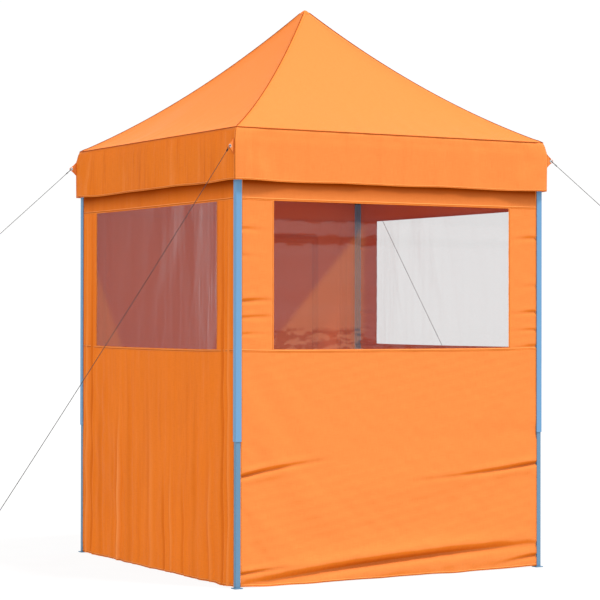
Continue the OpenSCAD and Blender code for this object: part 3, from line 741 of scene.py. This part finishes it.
def wall_sheet(side):
    """One wall's cloth, draped between its posts and wrinkled, in the front wall's place."""
    stops = [-WALL_EDGE, -WINDOW_HALF, 0.0, door_box[1][0] + 0.008, WINDOW_HALF, WALL_EDGE]
    along = grid_lines(stops, WALL_STEP)
    across = grid_lines([WALL_LOW, WINDOW_LOW, door_box[1][2] + 0.005, WINDOW_HIGH, WALL_HIGH], WALL_STEP)
    a, b = np.meshgrid(along, across)
    seed = 20 + side
    start = np.stack([a, -WALL_Y + 0.002 * ripples(a, b, seed, 0.35), b], -1)
    edge = abs(a) > WALL_EDGE - 0.001
    held = (b > WALL_HIGH - 0.001) | (edge & (b > 0.05))
    points = start.reshape(-1, 3)
    slack = 0.0035 if side in (0, 1) else 0.006
    points = drape(points, held.ravel(), slack, 22, a.shape)
    offset = points[:, 1].reshape(a.shape) + WALL_Y
    room = 0.008
    offset = room * np.tanh(0.3 * offset / room)
    offset *= 1 - 0.7 * np.clip((b - WINDOW_LOW + 0.20) / 0.20, 0, 1)
    shape = np.stack([a, -WALL_Y + offset, np.maximum(points[:, 2].reshape(a.shape), WALL_LOW * 0.5)], -1)
    up, wide = (4, 2) if side in (0, 1) else (2, 4)
    shape = smoother(smoother(shape, 0, up), 1, wide)
    along, across = evenly(along, wide), evenly(across, up)
    a, b = np.meshgrid(along, across)
    free = 1 - np.clip((b - WINDOW_HIGH + 0.05) / 0.14, 0, 1)
    free *= np.clip((WALL_EDGE - abs(a)) / 0.03, 0, 1)
    stretch = (1.8, 0.7) if side in (0, 1) else (0.7, 5.0)
    shape[..., 1] += 0.0012 * ripples(a, b, seed + 40, 0.09, stretch) * free
    beside_inner_leg = np.clip((TUBE_LOW - 0.02 - b) / 0.03, 0, 1) * np.clip((abs(a) - 0.80) / 0.13, 0, 1)
    shape[..., 0] += 0.0032 * np.sign(a) * beside_inner_leg
    # Painted shadow of the valance: shade rises from just under the windows' top to the valance's hem
    shade = np.clip((b - SHADE_LOW) / (VALANCE_LOW - 0.008 - SHADE_LOW), 0, 1) ** 1.4
    if side not in (0, 1):
        shape[..., 1] += upright_folds(a, b, seed, 0.0026) * free
    for fold in LEVEL_FOLDS if side in (0, 1) else UPRIGHT_FOLDS:
        inward, crease = (level_fold if side in (0, 1) else upright_fold)(a, b, *fold)
        beside_post = np.clip((abs(a) - WALL_EDGE) / 0.05 + 1, 0, 1)
        inward = inward + (np.maximum(inward, 0) - inward) * beside_post
        shape[..., 1] += inward * (1 if side in (0, 1) else free)
        # Painted shade in each crease, and a painted highlight on ridges where the crease value is negative
        shade += crease * (1 - shade)
    hem = np.clip(1 - (b - WALL_LOW) / 0.25, 0, 1)
    shape[..., 1] -= 0.006 * hem * ripples(a, b * 0.2, seed + 3, 0.35) * free
    shape[..., 2] += 0.0035 * hem ** 3 * ripples(a, b * 0.0, seed + 9, 0.25)
    return Sheet(shape, along, across, shade=shade)


def gathered_wall(points):
    """Where a wall's points go when the frame is folded: squeezed between the posts into deep pleats."""
    x, y, z = np.asarray(points, float).T
    pleat = 0.5 - 0.5 * np.cos(x / WALL_HALF * math.pi * 9)
    depth = np.interp(z, [0.0, WINDOW_HIGH - 0.15, VALANCE_LOW, WALL_HIGH], [0.085, 0.075, 0.018, 0.010])
    return np.stack([x * WALL_SQUEEZE, y - depth * pleat, z], 1)


def clear_of_foot(points, end):
    """Where a wall's points go when the leg at one end has slid up: its edge gives way to the foot plate."""
    x, y, z = np.asarray(points, float).T
    beside = np.clip((x * end - WALL_EDGE) / EDGE_ZONE + 1, 0, 1)
    below = np.clip((LEG_TRAVEL + EDGE_ZONE - z) / EDGE_ZONE, 0, 1)
    return np.stack([x - end * EDGE_SHIFT * beside * below, y, z], 1)


def side_body(side):
    return "upper_joint_" + SIDES[side]


def place_wall_piece(name, part, side, materials, replaced=()):
    points, faces, uvs = part
    piece = add_piece(name, make_mesh(name, turn(points, side), faces, uvs), materials,
                      side_body(side), replaced)
    add_fold(piece, turn(gathered_wall(points), side))
    for end, corner in ((-1, CORNERS[side]), (1, CORNERS[(side + 1) % 4])):
        key = piece.shape_key_add(name="clear_" + corner)
        key.data.foreach_set("co", turn(clear_of_foot(points, end), side).ravel())
        drive(key, "inner_leg_" + corner, "LOC_Z", EDGE_SHIFT)
    return piece


def in_window(a, b):
    return (abs(a) < WINDOW_HALF) & (b > WINDOW_LOW) & (b < WINDOW_HIGH)


def hem_tapes(sheet):
    edge, low = WALL_HALF - 0.001, WALL_LOW + 0.007
    return [
        tape(sheet, (-WALL_HALF, low), (WALL_HALF, low), 0.012, 0.0012),
        tape(sheet, (-edge, WALL_LOW), (-edge, WALL_HIGH), 0.006, 0.0008),
        tape(sheet, (edge, WALL_LOW), (edge, WALL_HIGH), 0.006, 0.0008),
    ]


def window_tapes(sheet):
    rim = WINDOW_HALF + 0.006
    strips = [tape(sheet, (-WALL_HALF, z), (WALL_HALF, z), 0.014, 0.0012)
              for z in (WINDOW_LOW - 0.010, WINDOW_HIGH + 0.006)]
    return strips + [tape(sheet, (s * rim, WINDOW_LOW), (s * rim, WINDOW_HIGH), 0.014, 0.0011)
                     for s in (-1, 1)]


def build_window_wall(side):
    sheet = wall_sheet(side)
    name = SIDES[side]
    first = side == 0
    place_wall_piece(name + "_wall", sheet.part(lambda a, b: ~in_window(a, b)), side, [CLOTH_MAT],
                     ["window_walls"] if first else [])
    film = (FILM_FRONT, FILM_RIGHT, None, FILM_SIDE)[side]
    place_wall_piece(name + "_window", sheet.part(in_window), side, [film],
                     ["window_panes"] if first else [])
    place_wall_piece(name + "_wall_seams", join_parts(hem_tapes(sheet) + window_tapes(sheet)), side,
                     [SEAM_MAT])


def build_zip(sheet, edge, low, high):
    """The zip's row of teeth, in the front wall's place."""
    pitch, tooth = 0.006, np.array([0.0026, 0.0012, 0.0018])
    cube = np.array([(x, y, z) for x in (-1, 1) for y in (-1, 1) for z in (-1, 1)], float)
    quads = [(0, 1, 3, 2), (4, 6, 7, 5), (0, 4, 5, 1), (2, 3, 7, 6), (0, 2, 6, 4), (1, 5, 7, 3)]
    parts = []
    for i, z in enumerate(np.arange(low, high, pitch)):
        at = np.array([edge + (0.0012 if i % 2 else -0.0012)])
        middle = sheet.at(at, np.array([z]))[0] + 0.0022 * sheet.normal(at, np.array([z]))[0]
        parts.append((middle + cube * tooth, quads, np.zeros((8, 2))))
    return join_parts(parts)


def build_back_wall():
    """The back wall with its door opening, the door leaf and the zip."""
    sheet = wall_sheet(2)
    # Seen from outside, the back wall's own left is the world's right
    left, right = -(door_box[1][0] + 0.008), 0.0
    low, high = door_box[0][2] - 0.005, door_box[1][2] + 0.005
    sheet.points[..., 0] *= -1
    sheet = Sheet(sheet.points[:, ::-1], -sheet.along[::-1], sheet.across, shade=sheet.shade[:, ::-1])

    def in_door(a, b):
        return (a > left) & (a < right) & (b > low) & (b < high)

    place_wall_piece("back_wall", sheet.part(lambda a, b: ~in_door(a, b)), 2, [CLOTH_MAT],
                     ["door_wall"])
    zip_at = left - 0.006
    seams = hem_tapes(sheet) + [
        tape(sheet, (-WALL_HALF, z), (WALL_HALF, z), 0.014, 0.0012) for z in (WINDOW_HIGH + 0.006,)
    ] + [
        tape(sheet, (left, high + 0.010), (right + 0.02, high + 0.010), 0.022, 0.0012),
        tape(sheet, (right + 0.012, low), (right + 0.012, high + 0.02), 0.020, 0.0012),
        tape(sheet, (left, low - 0.010), (right + 0.02, low - 0.010), 0.020, 0.0012),
        tape(sheet, (zip_at, low - 0.01), (zip_at, high + 0.01), 0.030, 0.0010),
        tape(sheet, (left - 0.01, high), (right + 0.01, high), 0.050, -0.0035),
        tape(sheet, (left - 0.01, low), (right + 0.01, low), 0.050, -0.0035),
        tape(sheet, (left, low - 0.01), (left, high + 0.01), 0.040, -0.0035),
        tape(sheet, (right, low - 0.01), (right, high + 0.01), 0.040, -0.0035),
    ]
    place_wall_piece("back_wall_seams", join_parts(seams), 2, [SEAM_MAT])
    place_wall_piece("door_zip_teeth", build_zip(sheet, zip_at, low, high), 2, [NYLON_MAT])
    build_door_leaf(sheet, left + 0.002, right - 0.004, low + 0.003, high - 0.003)


def build_zip_slider():
    """The zip's slider, in the CAD's shape, as a piece that comes in with the gathered wall."""
    points = vertices("zipper_pull")
    faces = [tuple(face.vertices) for face in frame["nodes"]["zipper_pull"].data.polygons]
    middle = turn([(points.min(0) + points.max(0)) / 2], 2)
    shift = turn(gathered_wall(middle) - middle, 2)
    piece = add_piece("door_zip_slider", make_mesh("door_zip_slider", points, faces, smooth=False),
                      [STEEL_MAT], "zipper_pull", ["zipper_pull"])
    add_fold(piece, points + shift)
    round_edges(piece)


def build_door_leaf(sheet, left, right, low, high):
    along = grid_lines([left, right], 0.016)
    across = grid_lines([low, high], 0.016)
    a, b = np.meshgrid(along, across)
    leaf = Sheet(sheet.at(a, b), along, across)
    strips = [
        tape(leaf, (left + 0.012, low), (left + 0.012, high), 0.022, 0.0012),
        tape(leaf, (right - 0.010, low), (right - 0.010, high), 0.018, 0.0012),
        tape(leaf, (left, low + 0.012), (right, low + 0.012), 0.022, 0.0012),
        tape(leaf, (left, high - 0.012), (right, high - 0.012), 0.022, 0.0012),
    ]
    for name, part, material, stands in (
        ("door_leaf", leaf.part(), CLOTH_MAT, ["door_flap"]),
        ("door_leaf_seams", join_parts(strips), SEAM_MAT, []),
    ):
        points, faces, uvs = part
        piece = add_piece(name, make_mesh(name, turn(points, 2), faces, uvs), [material], "door_flap",
                          stands)
        add_fold(piece, turn(gathered_wall(points), 2))


# ---------------------------------------------------------------- roof

SIDE_STEPS = 34
PIPING = 0.0023


def roof_level(t):
    """Half width and height of the roof at t, from 0 at the eave to 1 at the peak."""
    half = EAVE_HALF * (1 - t)
    return half, EAVE + (PEAK - EAVE) * (t - ROOF_SAG * t * (1 - t))


def canopy_sheet():
    """The whole roof as one cloth: valance, eave and four slopes, running round the shelter."""
    valance = [(EAVE_HALF + (VALANCE_HALF - EAVE_HALF) * np.interp(s, [0, 0.78, 1], [0.9, 1, 0]),
                VALANCE_LOW + VALANCE_DEPTH * s) for s in np.linspace(0, 1, 9)[:-1]]
    slope = [roof_level(t) for t in np.linspace(0, 0.992, 27)]
    levels = np.array(valance + slope)
    share = np.linspace(-1, 1, SIDE_STEPS + 1)[:-1]
    ring = []
    for side in range(4):
        for s in share:
            ring.append(turn([[s, -1.0, 0.0]], side)[0])
    ring = np.array(ring + [ring[0]])
    points = np.concatenate([levels[:, None, :1] * ring[None, :, :2],
                             np.repeat(levels[:, None, 1:], len(ring), 1)], -1)
    along = np.linspace(0, 4, len(ring))
    run = np.linalg.norm(np.diff(levels, axis=0), axis=1)
    across = np.concatenate([[0], np.cumsum(run)]) - run[:8].sum()
    corner = abs(along - np.round(along)) < 1e-6
    a, b = np.meshgrid(along, across)
    bottom = len(valance)
    rows = np.arange(len(levels))[:, None]
    held = corner[None, :] | (rows == bottom) | (rows == len(levels) - 1)
    flat = drape(points.reshape(-1, 3), held.ravel(), 0.004, 16, a.shape)
    moved = flat.reshape(points.shape) - points
    size = np.linalg.norm(moved, axis=-1, keepdims=True)
    points = points + moved * np.tanh(size / 0.014) * 0.014 / np.maximum(size, 1e-9)
    points[:, -1] = points[:, 0]
    factor = 2
    points = smoother(smoother(points, 0, factor), 1, factor)
    along, across = evenly(along, factor), evenly(across, factor)
    a, b = np.meshgrid(along, across)
    outward = np.where(abs(points[..., :1]) > abs(points[..., 1:2]),
                       np.sign(points[..., :1]) * [1, 0, 0], np.sign(points[..., 1:2]) * [0, 1, 0])
    below = np.clip(-b / VALANCE_DEPTH, 0, 1)
    away = np.minimum(a % 1, 1 - a % 1)
    near_corner = np.clip(away / 0.06, 0, 1)
    wave = ripples(np.cos(a * math.pi / 2) * 2, np.sin(a * math.pi / 2) * 2, 5, 0.45, count=20)
    pull = 0.0045 * below * wave * near_corner
    points += outward * pull[..., None]
    points[..., 2] += 0.003 * below ** 2 * ripples(a * 2, b * 0, 8, 0.7) * near_corner
    return Sheet(points, along, across, loop=True)


def gathered_roof(points):
    """Where the roof's points go when the posts come together: in towards the mast, in pleats."""
    points = np.asarray(points, float)
    inward = ROOF_FOLDED / EAVE_HALF
    x, y, z = points.T
    wide = np.maximum(np.maximum(abs(x), abs(y)), 1e-6)
    share = np.where(abs(x) > abs(y), y / wide, x / wide)
    pleat = np.cos(share * math.pi * 7) * 0.016 * np.minimum(1, wide / EAVE_HALF)
    scale = inward + pleat / wide
    return np.stack([x * scale, y * scale, z], 1)


def lowered_roof(points):
    """Where the roof's points go when the mast is down: the slopes lie low over the frame."""
    points = np.array(points, float)
    rise = np.clip((points[:, 2] - EAVE) / (PEAK - EAVE), 0, 1)
    points[:, 2] -= MAST_TRAVEL * rise
    return points


def place_roof_piece(name, part, materials, replaced=()):
    points, faces, uvs = part
    piece = add_piece(name, make_mesh(name, points, faces, uvs), materials, "shelter", replaced)
    add_fold(piece, gathered_roof(points), lowered_roof(points))
    return piece


def peak_patch(sheet):
    """The round reinforcing patch sewn over the peak."""
    rows = 7
    a = np.linspace(0, 4, 97)
    top = sheet.across[-1]
    b = top - np.linspace(0.030, 0.0, rows)
    aa, bb = np.meshgrid(a, b)
    points = sheet.at(np.minimum(aa, 4 - 1e-9), bb) + 0.0022 * np.array([0, 0, 1.0])
    patch = Sheet(points, a, b)
    part_points, faces, uvs = patch.part()
    tip = np.array([[0, 0, points[-1, :, 2].max() + 0.004]])
    last = (rows - 1) * len(a)
    closing = [(last + i, last + i + 1, len(part_points)) for i in range(len(a) - 1)]
    return (np.concatenate([part_points, tip]), [tuple(f) for f in faces] + closing,
            np.concatenate([uvs, [[0, top, 0]]]))


def build_roof():
    sheet = canopy_sheet()
    points, faces, uvs = sheet.part()
    uvs = uvs * np.array([EAVE_HALF * 2, 1, 1])
    place_roof_piece("roof_cloth", (points, faces, uvs), [CLOTH_MAT], ["canopy"])
    low, top = sheet.across[0], sheet.across[-1]
    seams = [tape(sheet, (k, 0.0), (k, top - 0.02), 0.016, 0.0014) for k in (0, 1, 2, 3)]
    seams += [tape(sheet, (k, low), (k, 0.0), 0.014, 0.0012) for k in (0, 1, 2, 3)]
    seams += [tape(sheet, (k, 0.004), (k + 1, 0.004), 0.012, 0.0013) for k in range(4)]
    seams += [tape(sheet, (k, low + 0.006), (k + 1, low + 0.006), 0.010, 0.0012) for k in range(4)]
    seams.append(peak_patch(sheet))
    place_roof_piece("roof_seams", join_parts(seams), [SEAM_MAT])
    edge = np.linspace(0, 4, 161)[:-1]
    cords = [tube(sheet.at(edge, 0 * edge) + 0.002 * sheet.normal(edge, 0 * edge), PIPING, 8, closed=True)]
    rise = np.linspace(0, top - 0.02, 60)
    cords += [tube(sheet.at(k + 0 * rise, rise) + [0, 0, 0.003], PIPING * 0.75, 8) for k in range(4)]
    place_roof_piece("roof_piping", join_parts(cords), [PIPING_MAT])


# ---------------------------------------------------------------- corner tabs, eyelets, ropes

TAB_TIP, TAB_ROOT = 0.0085, 0.052
EYELET_HOLE = 0.005
TAB_CORNER = VALANCE_HALF + (EAVE_HALF - VALANCE_HALF) * (EYELET[2] - VALANCE_LOW) / VALANCE_DEPTH
TAB_REACH = EYELET[:2] - TAB_CORNER
TAB_LENGTH = float(np.hypot(*TAB_REACH))


def corner_frame(corner):
    """A matrix whose X points out of a roof corner along its tab, with its origin at the eyelet."""
    sx, sy = ((-1, -1), (1, -1), (1, 1), (-1, 1))[corner]
    out = np.array([sx * TAB_REACH[0], sy * TAB_REACH[1], 0]) / TAB_LENGTH
    up = np.array([0, 0, 1.0])
    middle = np.array([sx * EYELET[0], sy * EYELET[1], EYELET[2]])
    return np.stack([out, np.cross(up, out), up], 1), middle


def in_corner(points, corner):
    axes, middle = corner_frame(corner)
    return np.asarray(points, float) @ axes.T + middle


def corner_shift(corner):
    sx, sy = ((-1, -1), (1, -1), (1, 1), (-1, 1))[corner]
    inward = EAVE_HALF - ROOF_FOLDED
    return np.array([-sx * inward, -sy * inward, 0.0])


def tab_outline(count):
    """The tab's edge, round from the tip: nearly straight sides from a rounded tip back to the root."""
    root_at = 0.001 - TAB_LENGTH
    tip_at = 0.006
    side = []
    for s in np.linspace(0, 1, count):
        half = TAB_TIP + (TAB_ROOT - TAB_TIP) * s ** 1.15
        side.append((tip_at + (root_at - tip_at) * s, half))
    side = np.array(side)
    tip = [(tip_at + 0.006 * math.cos(t), TAB_TIP * math.sin(t)) for t in np.linspace(-1.4, 1.4, 7)]
    back = [(root_at, z) for z in np.linspace(TAB_ROOT, -TAB_ROOT, 9)[1:-1]]
    return np.array(tip + [tuple(p) for p in side] + back + [(x, -z) for x, z in side[::-1]])


def tab_part(corner, side):
    """One face of a double-layer tab, as rings from the eyelet's hole out to the edge."""
    outline = tab_outline(14)
    angle = np.arctan2(outline[:, 1], outline[:, 0])
    hole = EYELET_HOLE * np.stack([np.cos(angle), np.sin(angle)], 1)
    rings = []
    for share in np.linspace(0, 1, 7):
        flat = hole + (outline - hole) * share
        puff = 0.0012 * math.sin(math.pi * min(share, 0.999)) + 0.0005
        bend = 0.004 * np.sin(flat[:, 0] * 40) * (abs(flat[:, 0]) > 0.012)
        rings.append(np.stack([flat[:, 0], side * puff + bend, flat[:, 1]], 1))
    count = len(outline)
    points = np.concatenate(rings)
    faces = [(j * count + i, j * count + (i + 1) % count, (j + 1) * count + (i + 1) % count, (j + 1) * count + i)
             for j in range(6) for i in range(count)]
    if side < 0:
        faces = [face[::-1] for face in faces]
    return in_corner(points, corner), faces, points[:, [0, 2]]


def tab_stitching(corner, side):
    """A sewn line that follows the tab's edge, as a fine raised cord."""
    outline = tab_outline(14) * 0.86
    path = np.stack([outline[:, 0], np.full(len(outline), side * 0.0020) + 0.004 * np.sin(outline[:, 0] * 40),
                     outline[:, 1]], 1)
    return tube(in_corner(path, corner), 0.0007, 6, closed=True)


def eyelet_part(corner):
    """A rolled metal eyelet: a barrel with a rounded flange on each face."""
    section = [(0.0050, -0.0020), (0.0046, 0.0), (0.0050, 0.0020), (0.0062, 0.0032), (0.0080, 0.0031),
               (0.0094, 0.0022), (0.0096, 0.0012), (0.0096, -0.0012), (0.0094, -0.0022), (0.0080, -0.0031),
               (0.0062, -0.0032)]
    turns, count = 32, len(section)
    points = [(r * math.cos(t), y, r * math.sin(t))
              for t in np.linspace(0, 2 * math.pi, turns, endpoint=False) for r, y in section]
    faces = [(j * count + i, j * count + (i + 1) % count,
              (j + 1) % turns * count + (i + 1) % count, (j + 1) % turns * count + i)
             for j in range(turns) for i in range(count)]
    return in_corner(points, corner), faces, np.zeros((len(points), 2))


def corner_piece(name, makers, material, replaced=()):
    """One piece made of the same parts at all four roof corners; it follows the corners in."""
    parts, shifted = [], []
    for corner in range(4):
        for maker in makers:
            part = maker(corner)
            parts.append(part)
            shifted.append(part[0] + corner_shift(corner))
    points, faces, uvs = join_parts(parts)
    piece = add_piece(name, make_mesh(name, points, faces, uvs), [material], "shelter", replaced)
    add_fold(piece, np.concatenate(shifted))


ROPE_RADIUS = 0.0015


def rope_parts(corner):
    """One guy rope: a loop through the eyelet, a whipped knot, the long run, a tensioner loop and the
    loop on the peg. Returns parts and how far along the rope each point is, from 0 at the eyelet."""
    sx, sy = ((-1, -1), (1, -1), (1, 1), (-1, 1))[corner]
    mirror = np.array([sx, sy, 1.0])
    peg = np.array([(PEG_LOW[0] + PEG_HIGH[0]) / 2 + 0.012, (PEG_LOW[1] + PEG_HIGH[1]) / 2 + 0.007,
                    PEG_HIGH[2] - 0.045]) * mirror
    eyelet = EYELET * mirror
    run = peg - eyelet
    ahead = run / np.linalg.norm(run)
    sideways = np.cross(ahead, [0, 0, 1.0])
    sideways /= np.linalg.norm(sideways)
    under = np.cross(sideways, ahead)
    length = np.linalg.norm(run)
    sag = 0.02

    def along(s, off=0.0, lift=0.0):
        return eyelet + run * s + sideways * off + under * lift - np.array([0, 0, sag * 4 * s * (1 - s)])

    def eye(centre, towards, reach, half, lift):
        """A teardrop loop that starts and ends at centre."""
        turns = np.linspace(0, 2 * math.pi, 26)
        return [centre + towards * reach * (1 - math.cos(t)) / 2 + sideways * half * math.sin(t)
                + under * lift * math.sin(t / 2) for t in turns]

    start, end = 0.026 / length, 1 - 0.05 / length
    main = [along(s) for s in np.linspace(start, end, 64)]
    out = np.array([sx, sy, 0]) / math.sqrt(2)
    first_loop = eye(main[0], (eyelet - main[0]) / np.linalg.norm(eyelet - main[0]), 0.0285, 0.006, 0.0)
    peg_loop = eye(main[-1], (peg - main[-1]) / np.linalg.norm(peg - main[-1]), 0.062, 0.010, 0.0)
    knots = []
    for s in (start * 1.2, start * 1.5, end - 0.008, end - 0.005):
        turns = np.linspace(0, 2 * math.pi, 14, endpoint=False)
        ring = [along(s) + (sideways * math.cos(t) + under * math.sin(t)) * 0.0030 for t in turns]
        knots.append((tube(ring, 0.0018, 8, closed=True), s))
    grip = 0.80
    tail = [along(s, off=0.010 * math.sin(math.pi * (s - grip) / (end - grip))) for s in np.linspace(grip, end, 26)]
    parts = [(tube(main, ROPE_RADIUS), None), (tube(first_loop, ROPE_RADIUS), 0.0),
             (tube(peg_loop, ROPE_RADIUS), 1.0), (tube(tail, ROPE_RADIUS * 0.9), None)] + knots
    shares, made = [], []
    for part, fixed in parts:
        made.append(part)
        reached = (part[0] - eyelet) @ ahead / length
        shares.append(np.clip(reached, 0, 1) if fixed is None else np.full(len(part[0]), fixed))
    return made, np.concatenate(shares), (along, grip, sideways, under, ahead)


def tensioner_part(place):
    """The flat runner that tightens a rope, as a rounded bar with its ends thickened."""
    along, grip, sideways, under, ahead = place
    centre = along(grip)
    length, rows, sides = 0.032, 13, 12
    points = []
    for i in range(rows):
        s = -1 + 2 * i / (rows - 1)
        wide = 0.0075 * (1 - 0.25 * (1 - s * s)) * min(1, (1.02 - abs(s)) * 6 + 0.3)
        thick = 0.0042 * min(1, (1.02 - abs(s)) * 6 + 0.3)
        for k in range(sides):
            t = 2 * math.pi * k / sides
            points.append(centre + sideways * (length / 2 * s) + ahead * wide * math.cos(t)
                          + under * thick * math.sin(t))
    faces = [(j * sides + i, j * sides + (i + 1) % sides, (j + 1) * sides + (i + 1) % sides, (j + 1) * sides + i)
             for j in range(rows - 1) for i in range(sides)]
    faces += [tuple(range(sides))[::-1], tuple((rows - 1) * sides + i for i in range(sides))]
    return np.array(points), faces, np.zeros((len(points), 2))


def build_ropes():
    ropes, shares, runners, shifts, runner_shifts = [], [], [], [], []
    for corner in range(4):
        parts, share, place = rope_parts(corner)
        ropes += parts
        shifts.append((1 - share)[:, None] * corner_shift(corner)[None, :])
        runner = tensioner_part(place)
        runners.append(runner)
        runner_shifts.append(np.repeat((1 - place[1]) * corner_shift(corner)[None, :], len(runner[0]), 0))
    points, faces, uvs = join_parts(ropes)
    piece = add_piece("guy_rope_cords", make_mesh("guy_rope_cords", points, faces, uvs), [ROPE_MAT],
                      "shelter", ["guy_ropes"])
    add_fold(piece, points + np.concatenate(shifts))
    points, faces, uvs = join_parts(runners)
    piece = add_piece("rope_runners", make_mesh("rope_runners", points, faces, uvs), [NYLON_MAT],
                      "shelter")
    add_fold(piece, points + np.concatenate(runner_shifts))


def build_corners():
    corner_piece("corner_tabs", [lambda c: tab_part(c, 1), lambda c: tab_part(c, -1)], CLOTH_MAT)
    corner_piece("corner_tab_stitching", [lambda c: tab_stitching(c, 1), lambda c: tab_stitching(c, -1)],
                 SEAM_MAT)
    corner_piece("corner_eyelets", [eyelet_part], STEEL_MAT, ["eyelets"])


# ---------------------------------------------------------------- hard parts from the frame

SLOT_MATERIALS = {"blue_steel": PAINT_MAT, "dark_nylon": NYLON_MAT, "bare_steel": STEEL_MAT,
                  "rope": ROPE_MAT, "orange_cloth": CLOTH_MAT, "clear_film": FILM_FRONT}


def round_edges(item):
    """Joins the triangles' corners and rounds sharp edges a little, so that they catch the light."""
    weld = item.modifiers.new("weld", "WELD")
    weld.merge_threshold = 0.00002
    bevel = item.modifiers.new("edges", "BEVEL")
    bevel.width = 0.0008
    bevel.segments = 2
    bevel.limit_method = "ANGLE"
    bevel.angle_limit = math.radians(40)
    bevel.harden_normals = False


def dress_hard_parts():
    """Gives every shown CAD node its material and small rounded edges that catch the light."""
    for row in frame["record"]["subparts"]:
        node = frame["nodes"][row["node"]]
        mesh = node.data
        mesh.materials.clear()
        inner = row["node"].startswith("inner_leg")
        mesh.materials.append(INNER_MAT if inner else SLOT_MATERIALS[row["material_slot"]])
        if node.hide_render:
            continue
        if row["node"].startswith("leg_tube"):
            mesh.materials.append(NYLON_MAT)
            corner = np.sign(np.array([v.co for v in mesh.vertices], float).mean(0))[:2] * POST
            for face in mesh.polygons:
                beyond = max(abs(face.center[0] - corner[0]), abs(face.center[1] - corner[1]))
                if face.center[2] > PIVOT_H - 0.021 and beyond > TUBE_HALF + 0.0001:
                    face.material_index = 1
        round_edges(node)


# ---------------------------------------------------------------- stage, light, camera

def build_stage():
    scene = bpy.context.scene
    span = 40.0
    mesh = make_mesh("floor", [(-span, -span, 0), (span, -span, 0), (span, span, 0), (-span, span, 0)],
                     [(0, 1, 2, 3)], smooth=False)
    floor = bpy.data.objects.new("floor", mesh)
    floor.location.z = -0.0005
    scene.collection.objects.link(floor)
    mesh.materials.append(floor_shader())

    build_light()


def build_light():
    """Soft light from all round, seen as white by the camera, and one broad high light from the front."""
    scene = bpy.context.scene
    world = bpy.data.worlds.new("studio")
    scene.world = world
    world.use_nodes = True
    tree = world.node_tree
    background = tree.nodes["Background"]
    background.inputs["Color"].default_value = (1.0, 1.0, 1.0, 1)
    path = tree.nodes.new("ShaderNodeLightPath")
    seen = tree.nodes.new("ShaderNodeMapRange")
    tree.links.new(path.outputs["Is Camera Ray"], seen.inputs["Value"])
    seen.inputs["To Min"].default_value = 0.965
    seen.inputs["To Max"].default_value = 1.02
    tree.links.new(seen.outputs["Result"], background.inputs["Strength"])

    key = bpy.data.objects.new("key", bpy.data.lights.new("key", "SUN"))
    key.data.energy = 3.0
    key.data.angle = math.radians(9)
    key.rotation_mode = "QUATERNION"
    key.rotation_quaternion = Vector(SUN_WAY).to_track_quat("Z", "Y")
    scene.collection.objects.link(key)


def build_camera():
    """The camera stands left of the front corner at chest height and looks almost level."""
    turn_deg, tilt_deg, roll_deg = 30.17, 0.435, 0.09
    camera = bpy.data.objects.new("camera", bpy.data.cameras.new("camera"))
    camera.data.sensor_width = 36.0
    camera.data.lens = 124.65
    camera.data.clip_end = 100.0
    camera.location = np.array([-6.3256, -10.8305, 1.4678]) * POST
    camera.rotation_euler = (math.radians(90 + tilt_deg), math.radians(-roll_deg), math.radians(-turn_deg))
    bpy.context.scene.collection.objects.link(camera)
    bpy.context.scene.camera = camera


for wall in (0, 1, 3):
    build_window_wall(wall)
build_back_wall()
build_zip_slider()
build_roof()
build_corners()
build_ropes()
dress_hard_parts()
build_stage()
build_camera()
bpy.context.scene.view_settings.view_transform = "Standard"
